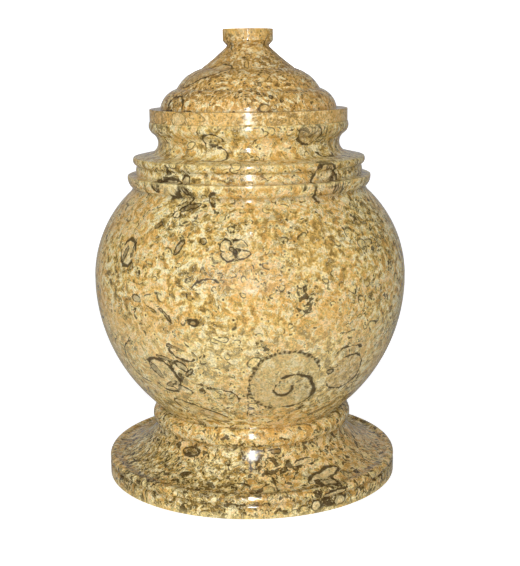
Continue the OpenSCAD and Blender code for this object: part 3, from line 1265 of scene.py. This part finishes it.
@dataclass
class UrnBody:
    """Foot, bowl, shoulder and neck, turned from one block.

    Sizes are millimetres. A fossil and its mirror image have azimuths that add up to echo.
    """

    turnery: Turnery
    foot_r: float = 95.7
    band_h: float = 8.9
    groove_depth: float = 1.1
    roll_r: float = 3.3
    roll_span: Pair = (-48.0, 140.0)
    flare_h: float = 19.8
    flare_hollow: float = 4.0
    bead_outer_r: float = 66.1
    bead_r: float = 6.0
    bead_span: Pair = (-75.0, 102.0)
    belly_r: float = 101.5
    bowl_arc: float = 110.0
    shoulder_arc: float = 76.0
    wall: float = 9.0
    base_t: float = 44.0
    neck_r: float = 58.4
    neck_hollow_r: float = 7.0
    neck_span: Pair = (270.0, 125.0)
    rim_h: float = 7.6
    rim_swell: float = 1.5
    upper_ridge_w: float = 15.8
    upper_ridge_h: float = 5.4
    upper_ridge_swell: float = 1.15
    ledge_rise: float = 1.9
    collar_w: float = 1.2
    collar_h: float = 6.2
    collar_swell: float = 0.3
    lower_ridge_w: float = 5.4
    lower_ridge_h: float = 8.4
    lower_ridge_swell: float = 1.5
    crease_w: float = 4.1
    echo: float = 200.0
    body: str = "root"

    @property
    def upper_r(self) -> float:
        """Radius of the upper ridge."""
        return self.neck_r + self.upper_ridge_w

    @property
    def collar_r(self) -> float:
        """Radius of the collar."""
        return self.upper_r - self.collar_w

    @property
    def lower_r(self) -> float:
        """Radius of the lower ridge."""
        return self.collar_r + self.lower_ridge_w

    def foot(self, outline: Outline) -> Pair:
        """Draws the band, groove, roll, flare and bead.

        Args:
            outline: The section to add them to.

        Returns:
            The bowl's seat on the bead.
        """
        edge = self.turnery.arris
        outline.line((0.0, 0.0), (self.foot_r, 0.0))
        top = self.band_h - self.groove_depth - edge
        outline.arc((self.foot_r - self.groove_depth, top), self.groove_depth, 0, 90)
        roll = (self.foot_r - self.roll_r, self.band_h - self.roll_r * sin_deg(self.roll_span[0]))
        outline.arc(roll, self.roll_r, *self.roll_span)
        low = outline.points[-1]
        bead_x = self.bead_outer_r - self.bead_r
        high = (bead_x + self.bead_r * cos_deg(self.bead_span[0]), low[1] + self.flare_h)
        outline.bow(low, high, -self.flare_hollow)
        bead = (bead_x, high[1] - self.bead_r * sin_deg(self.bead_span[0]))
        outline.arc(bead, self.bead_r, *self.bead_span)
        return outline.points[-1]

    def neck(self, outline: Outline, crease: Pair) -> float:
        """Draws the two ridges with the collar between them, the hollow and the rim.

        Args:
            outline: The section to add them to.
            crease: Where the lower ridge leaves the shoulder.

        Returns:
            Height of the seam.
        """
        edge = self.turnery.arris
        lower_z = crease[1] + self.lower_ridge_h
        collar_z = lower_z + self.collar_h
        upper_z = collar_z + self.upper_ridge_h
        outline.bow(crease, (self.lower_r, lower_z), self.lower_ridge_swell)
        outline.bow((self.collar_r, lower_z + edge), (self.collar_r - edge, collar_z), self.collar_swell)
        outline.bow((self.collar_r, collar_z + edge), (self.upper_r, upper_z), self.upper_ridge_swell)
        hollow = (self.neck_r + self.neck_hollow_r, upper_z + self.ledge_rise + self.neck_hollow_r)
        outline.arc(hollow, self.neck_hollow_r, *self.neck_span)
        rim_foot = outline.points[-1]
        seam = rim_foot[1] + self.rim_h
        outline.bow(rim_foot, (self.turnery.rim_r, seam), self.rim_swell)
        return seam

    def cavity(self, bowl: Pair, shoulder: Pair, seam: float) -> Outline:
        """Draws the cavity from the mouth down.

        Args:
            bowl: Centre of the bowl's arc.
            shoulder: Centre of the shoulder's arc.
            seam: Height of the seam.

        Returns:
            The half section of the cavity.
        """
        mouth, belly_z = self.turnery.mouth_r, bowl[1]
        inner_shoulder, inner_bowl = self.shoulder_arc - self.wall, self.bowl_arc - self.wall
        mouth_z = belly_z + leg(inner_shoulder, mouth - shoulder[0])
        cavity = Outline([(mouth, seam)])
        cavity.arc(shoulder, inner_shoulder, asin_deg((mouth_z - belly_z) / inner_shoulder), 0)
        cavity.arc(bowl, inner_bowl, 0, asin_deg((self.base_t - belly_z) / inner_bowl))
        cavity.line((0.0, self.base_t))
        return cavity.softened(self.turnery.arris)

    def outline(self) -> tuple[Outline, int]:
        """Draws the whole section.

        Returns:
            The section, and how many of its points are on the polished outside.
        """
        outline = Outline()
        seat = self.foot(outline)
        bowl_x, shoulder_x = self.belly_r - self.bowl_arc, self.belly_r - self.shoulder_arc
        belly_z = seat[1] + leg(self.bowl_arc, seat[0] - bowl_x)
        bowl, shoulder = (bowl_x, belly_z), (shoulder_x, belly_z)
        crease_r = self.lower_r - self.crease_w
        crease_z = belly_z + leg(self.shoulder_arc, crease_r - shoulder_x)
        outline.arc(bowl, self.bowl_arc, asin_deg((seat[1] - belly_z) / self.bowl_arc), 0)
        outline.arc(shoulder, self.shoulder_arc, 0, asin_deg((crease_z - belly_z) / self.shoulder_arc))
        seam = self.neck(outline, (crease_r, crease_z))
        outline.line((self.turnery.mouth_r, seam))
        polished = outline.softened(self.turnery.arris)
        outside = len(polished.points)
        polished.points += self.cavity(bowl, shoulder, seam).points[1:]
        log.info("urn body: belly at %.1f mm, seam at %.1f mm", belly_z, seam)
        return polished, outside

    def build(self, lathe: Lathe, polished: Material, honed: Material) -> bpy.types.Object:
        """Turns the body and lets it stand for its CAD node.

        Args:
            lathe: The lathe.
            polished: Material of the outside.
            honed: Material of the cavity.

        Returns:
            The finished piece.
        """
        outline, outside = self.outline()
        piece = lathe.turn(outline, "turned_body", outside, polished, honed)
        BODY_FRONT.echoed(self.echo).carve(piece, outline, outside)
        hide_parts("urn_body")
        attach(piece, self.body)
        return piece


@dataclass
class Lid:
    """Rim, two ovolos, cone and knob, turned from one block.

    Sizes are millimetres. A fossil and its mirror image have azimuths that add up to echo.
    """

    turnery: Turnery
    inset: float = 0.1
    spigot_gap: float = 0.8
    spigot_h: float = 9.0
    rim_h: float = 7.9
    ledge_w: float = 6.9
    lower_ovolo: Pair = (11.1, 12.5)
    lower_swell: float = 2.4
    upper_ovolo: Pair = (15.8, 12.8)
    upper_swell: float = 1.95
    cone_h: float = 14.1
    cone_hollow: float = 0.35
    knob_r: float = 16.1
    knob_hollow_w: float = 2.5
    knob_slope_h: float = 3.4
    knob_h: float = 6.9
    lip: float = 2.0
    echo: float = 160.0
    body: str = "root"

    def outline(self) -> tuple[Outline, int]:
        """Draws the whole section from the knob's top down, so that the unpolished part comes last.

        Returns:
            The section, and how many of its points are on the polished outside.
        """
        edge = self.turnery.arris
        seam = self.turnery.seam_z
        rim_r = self.turnery.rim_r - self.inset
        rim_z = seam + self.rim_h
        lower_r = rim_r - self.ledge_w
        lower_z = rim_z + self.lower_ovolo[1]
        upper_r = lower_r - self.lower_ovolo[0]
        upper_z = lower_z + self.upper_ovolo[1]
        cone_r = upper_r - self.upper_ovolo[0]
        cone_z = upper_z + self.cone_h
        hollow_r = self.knob_r - self.knob_hollow_w
        knob_z = cone_z + self.knob_slope_h
        outline = Outline([(rim_r - self.lip, seam), (rim_r, seam), (rim_r, rim_z)])
        outline.bow((lower_r, rim_z), (upper_r + edge, lower_z), self.lower_swell)
        outline.bow((upper_r, lower_z + edge), (cone_r, upper_z), self.upper_swell)
        outline.bow((cone_r - edge, upper_z + edge), (hollow_r + edge, cone_z - 2 * edge), -self.cone_hollow)
        outline.line((hollow_r, cone_z - edge), (hollow_r, cone_z), (self.knob_r, knob_z - edge))
        outline.line((self.knob_r, knob_z + self.knob_h), (0.0, knob_z + self.knob_h))
        outline = outline.softened(edge)
        outline.points.reverse()
        outside = len(outline.points)
        spigot_r = self.turnery.mouth_r - self.spigot_gap
        tip = seam - self.spigot_h
        under = Outline([outline.points[-1], (spigot_r, seam), (spigot_r, tip), (0.0, tip)])
        outline.points += under.softened(edge).points[1:]
        log.info("lid: top at %.1f mm", knob_z + self.knob_h)
        return outline, outside

    def build(self, lathe: Lathe, polished: Material, honed: Material) -> bpy.types.Object:
        """Turns the lid and lets it stand for its CAD node.

        Args:
            lathe: The lathe.
            polished: Material of the outside.
            honed: Material of the underside and the spigot.

        Returns:
            The finished piece.
        """
        outline, outside = self.outline()
        piece = lathe.turn(outline, "turned_lid", outside, polished, honed, sense=-1.0)
        LID_FRONT.echoed(self.echo).carve(piece, outline, outside)
        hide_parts("lid")
        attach(piece, self.body)
        return piece


def sin_deg(angle: float) -> float:
    """Sine of an angle in degrees."""
    return math.sin(math.radians(angle))


def cos_deg(angle: float) -> float:
    """Cosine of an angle in degrees."""
    return math.cos(math.radians(angle))


def asin_deg(value: float) -> float:
    """Angle in degrees whose sine is the value."""
    return math.degrees(math.asin(value))


def leg(hypotenuse: float, other: float) -> float:
    """Remaining leg of a right triangle."""
    return math.sqrt(hypotenuse**2 - other**2)


# ---------------------------------------------------------------------------- studio


@dataclass
class Studio:
    """Floor, soft lights and camera, with places in heights of the urn.

    The tent is as strong as key in front, back behind and side all round. The
    polish mirrors only the shares of key and back that gloss gives.
    """

    height: float
    distance: float = 2.4805
    eye: float = 0.93496
    pitch: float = 11.4413
    yaw: float = 0.512
    roll: float = -0.5
    lens: float = 70.43
    floor_size: float = 40.0
    floor_glow: float = 0.85
    floor_grey: float = 0.6
    floor_rough: float = 0.8
    key: float = 5.15
    key_way: Triple = (-0.12, -0.99, -0.05)
    key_edge: Pair = (0.6, 1.0)
    side: float = 0.12
    back: float = 2.4
    back_way: Triple = (0.0, 1.0, 0.0)
    back_edge: Pair = (0.6, 1.0)
    gloss: Pair = (0.27, 0.10)
    backdrop: float = 1.05
    sensor: float = 36.0
    nearest: float = 0.01
    blend: float = 0.6
    neck_lamps: int = 6
    foot_lamps: int = 9
    lamp_gap: float = 6.0

    def camera(self) -> None:
        """Puts the camera in front of the urn, a little above its shoulder, looking down."""
        data = bpy.data.cameras.new("camera")
        data.lens = self.lens
        data.sensor_width = self.sensor
        data.clip_start = self.nearest
        thing = bpy.data.objects.new("camera", data)
        bpy.context.collection.objects.link(thing)
        thing.location = (0.0, -self.distance * self.height, self.eye * self.height)
        thing.rotation_mode = "XYZ"
        turn = Matrix.Identity(4)
        for angle, axis in ((-self.yaw, "Z"), (90 - self.pitch, "X"), (self.roll, "Z")):
            turn = turn @ Matrix.Rotation(math.radians(angle), 4, axis)
        thing.rotation_euler = turn.to_euler()
        bpy.context.scene.camera = thing

    def floor(self) -> None:
        """Lays a plain pale floor that glows a little, like a light table."""
        mesh = bpy.data.meshes.new("floor")
        half = self.floor_size / 2
        corners = [(-half, -half, 0), (half, -half, 0), (half, half, 0), (-half, half, 0)]
        mesh.from_pydata(corners, [], [(0, 1, 2, 3)])
        thing = bpy.data.objects.new("floor", mesh)
        bpy.context.collection.objects.link(thing)
        paint = bpy.data.materials.new("pale floor")
        paint.use_nodes = True
        graph = Graph(paint.node_tree)
        seen = Term(graph, graph.add("ShaderNodeLightPath").outputs["Is Camera Ray"])
        shader = graph.add(
            "ShaderNodeBsdfPrincipled",
            {
                "Base Color": (self.floor_grey,) * 3,
                "Roughness": self.floor_rough,
                "Specular IOR Level": 0.0,
                "Emission Color": (1.0, 1.0, 1.0),
                "Emission Strength": seen * self.floor_glow,
            },
        )
        graph.add("ShaderNodeOutputMaterial", {0: shader.outputs[0]})
        mesh.materials.append(paint)

    def lamp(
        self, name: str, target: Pair, rise: float, away: float, radius: float, beam: float, power: float
    ) -> None:
        """Sets a round lamp in front of the urn, whose soft-edged beam only makes glints.

        Args:
            name: The lamp's name.
            target: Depth and height of the point it faces, in heights of the urn.
            rise: How far above the level of that point it stands, in degrees.
            away: How far from that point it stands, in heights of the urn.
            radius: Radius of its face, in heights of the urn.
            beam: Full width of its beam, in degrees.
            power: Its power in watts.
        """
        data = bpy.data.lights.new(name, "SPOT")
        data.shadow_soft_size = radius * self.height
        data.spot_size = math.radians(beam)
        data.spot_blend = self.blend
        data.energy = power
        thing = bpy.data.objects.new(name, data)
        thing.visible_diffuse = False
        bpy.context.collection.objects.link(thing)
        aim = Vector((0.0, *target)) * self.height
        way = Vector((0.0, -cos_deg(rise), sin_deg(rise)))
        thing.location = aim + way * away * self.height
        thing.rotation_euler = (-way).to_track_quat("-Z", "Y").to_euler()

    def tent(self) -> None:
        """Surrounds the set with a white tent, bright in front and behind, dim overhead and at the sides."""
        world = bpy.data.worlds.new("tent")
        bpy.context.scene.world = world
        world.use_nodes = True
        graph = Graph(world.node_tree)
        toward = Arrow(graph, graph.add("ShaderNodeTexCoord").outputs["Generated"])
        path = graph.add("ShaderNodeLightPath")
        seen = Term(graph, path.outputs["Is Camera Ray"])
        mirrored = Term(graph, path.outputs["Is Glossy Ray"])
        ahead = toward.dot(self.key_way).fade(*self.key_edge) * (self.key - self.side)
        behind = toward.dot(self.back_way).fade(*self.back_edge) * (self.back - self.side)
        ahead = ahead * (1 - mirrored * (1 - self.gloss[0]))
        behind = behind * (1 - mirrored * (1 - self.gloss[1]))
        strength = (ahead + behind + self.side).high(seen * self.backdrop)
        light = graph.add("ShaderNodeBackground", {"Color": (1, 1, 1), "Strength": strength})
        graph.add("ShaderNodeOutputWorld", {0: light.outputs[0]})

    def build(self) -> None:
        """Sets up the floor, lights and camera."""
        self.camera()
        self.floor()
        self.tent()
        self.lamp("low lid lamp", (0.0, 1.12), rise=-5.4, away=3.41, radius=0.24, beam=20.0, power=5.0)
        for n in range(self.neck_lamps):
            rise = 2.0 + self.lamp_gap * n
            self.lamp(f"neck lamp {n}", (-0.2, 0.79), rise, away=2.1, radius=0.07, beam=12.0, power=1.3)
        for n in range(self.foot_lamps):
            rise = 12.0 + self.lamp_gap * n
            self.lamp(f"foot lamp {n}", (-0.3, 0.03), rise, away=3.4, radius=0.12, beam=9.0, power=7.0)
        bpy.context.scene.view_settings.view_transform = "Standard"
        log.info("studio: camera %.3f m from the axis", self.distance * self.height)


def main() -> None:
    """Builds every piece in order."""
    logging.basicConfig(level=logging.INFO, format="%(name)s: %(message)s")
    height = CAD_BOX[1][2] - CAD_BOX[0][2]
    Studio(height).build()
    turnery = Turnery(seam_z=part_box("urn_body")[1][2] / MM)
    lathe = Lathe()
    body_stone = Limestone("polished body stone", polish=0.10, bold=1.0, crowded=BODY_CROWDS)
    lid_stone = Limestone(
        "polished lid stone",
        polish=0.10,
        shift=(210.0, 90.0, 40.0),
        patch=3.4,
        dots=0.65,
        dot_gap=4.0,
        rings=0.14,
        outlines=0.55,
        cream=(0.85, 0.55, 0.17),
        gold=(0.67, 0.39, 0.098),
        tan=(0.52, 0.29, 0.072),
        olive=(0.36, 0.195, 0.052),
        # painted shade on the lid's cone and knob
        top_shade_edge=(256.0, 264.0),
        top_shade=0.28,
    )
    for maker, stone in ((UrnBody(turnery), body_stone), (Lid(turnery), lid_stone)):
        honed = replace(stone, name=f"honed {stone.name}", polish=0.55, layers=0)
        piece = maker.build(lathe, stone.material(), honed.material())
        log.info("%s: %d faces", piece.name, len(piece.data.polygons))


if __name__ == "__main__":
    main()
